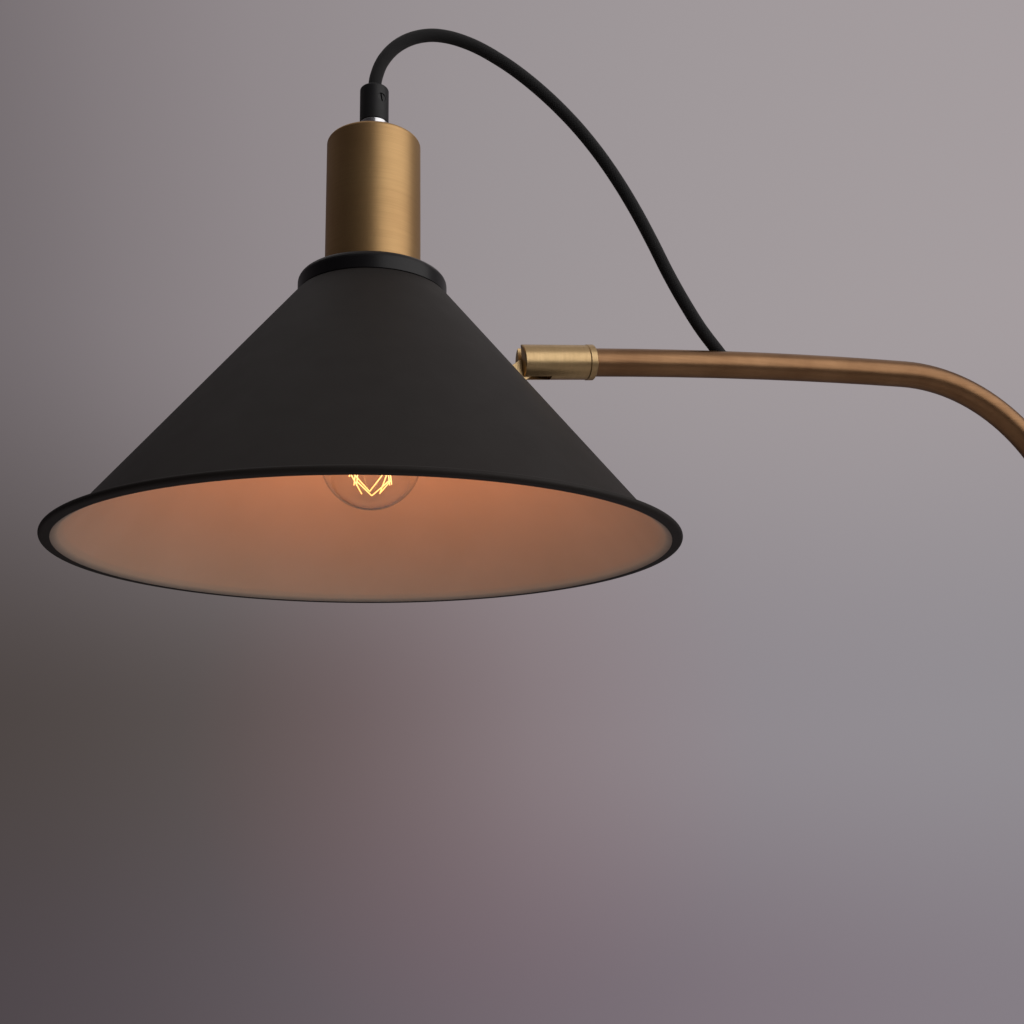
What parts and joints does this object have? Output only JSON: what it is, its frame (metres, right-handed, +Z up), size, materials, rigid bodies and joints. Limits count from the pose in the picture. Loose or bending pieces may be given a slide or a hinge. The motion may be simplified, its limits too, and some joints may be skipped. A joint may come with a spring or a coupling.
{
  "type": "arc floor lamp",
  "caption": "Floor lamp with a cone shade on a friction tilt knuckle, hung from a bent tube arm on a straight post with a weighted round base.",
  "frame": {"origin": "centre of the base's underside, on the post's axis", "axes": "+Z up along the post, the arm and head reach towards -X in the XZ plane"},
  "size_m": [0.757, 0.32, 1.5647],
  "materials": {
    "shade_paint": "satin black outside, white inside",
    "cup_brass": "satin, lacquered",
    "tube_brass": "brushed, aged",
    "knuckle_brass": "fine turned",
    "steel": "turned",
    "bright_chrome": "polished",
    "black_plastic": "satin",
    "bakelite": "satin",
    "porcelain": "glazed",
    "contact_brass": "polished",
    "textile_cord": "braided",
    "cable_sheath": "matte",
    "clear_glass": "clear",
    "filament_wire": "glowing",
    "base_iron": "rough",
    "base_paint": "satin",
    "pad_rubber": "matte"
  },
  "bodies": {
    "stand": {"knuckle_clevis": "knuckle_brass", "friction_washers": "pad_rubber", "pivot_screw": "knuckle_brass", "clevis_ring": "knuckle_brass", "tube_plug": "contact_brass", "arm_tube": "tube_brass", "cable_bush": "black_plastic", "shade_cord": "textile_cord", "arm_cable": "cable_sheath", "post_cable": "cable_sheath", "upper_coupler": "knuckle_brass", "upper_post": "tube_brass", "lower_coupler": "knuckle_brass", "lower_post": "tube_brass", "post_boss": "knuckle_brass", "post_stud": "steel", "stud_washer": "steel", "stud_nut": "steel", "base_cover": "base_paint", "base_weight": "base_iron", "base_screws": "steel", "base_pad": "pad_rubber", "cable_gland": "black_plastic", "gland_nut": "black_plastic"},
    "head": {"shade": "shade_paint", "shade_collar": "shade_paint", "lamp_cup": "cup_brass", "grip_base": "bright_chrome", "cord_grip": "black_plastic", "grip_screw": "black_plastic", "nipple": "steel", "lamp_holder": "bakelite", "holder_cap": "bakelite", "holder_insert": "porcelain", "holder_contacts": "contact_brass", "shade_ring": "bakelite", "holder_lead": "textile_cord", "bulb_glass": "clear_glass", "bulb_stem": "clear_glass", "bulb_filament": "filament_wire", "bulb_cap": "contact_brass", "bulb_insulator": "black_plastic", "bulb_tip": "steel", "knuckle_tongue": "knuckle_brass", "tongue_washer": "steel", "tongue_nut": "steel"}
  },
  "joints": [
    {"name": "head_tilt", "type": "hinge", "parent": "stand", "child": "head", "pos_m": [-0.35649, 0, 1.36313], "axis": [0, 1, 0], "range_deg": [-40, 40], "deforming": ["shade_cord"]}
  ]
}
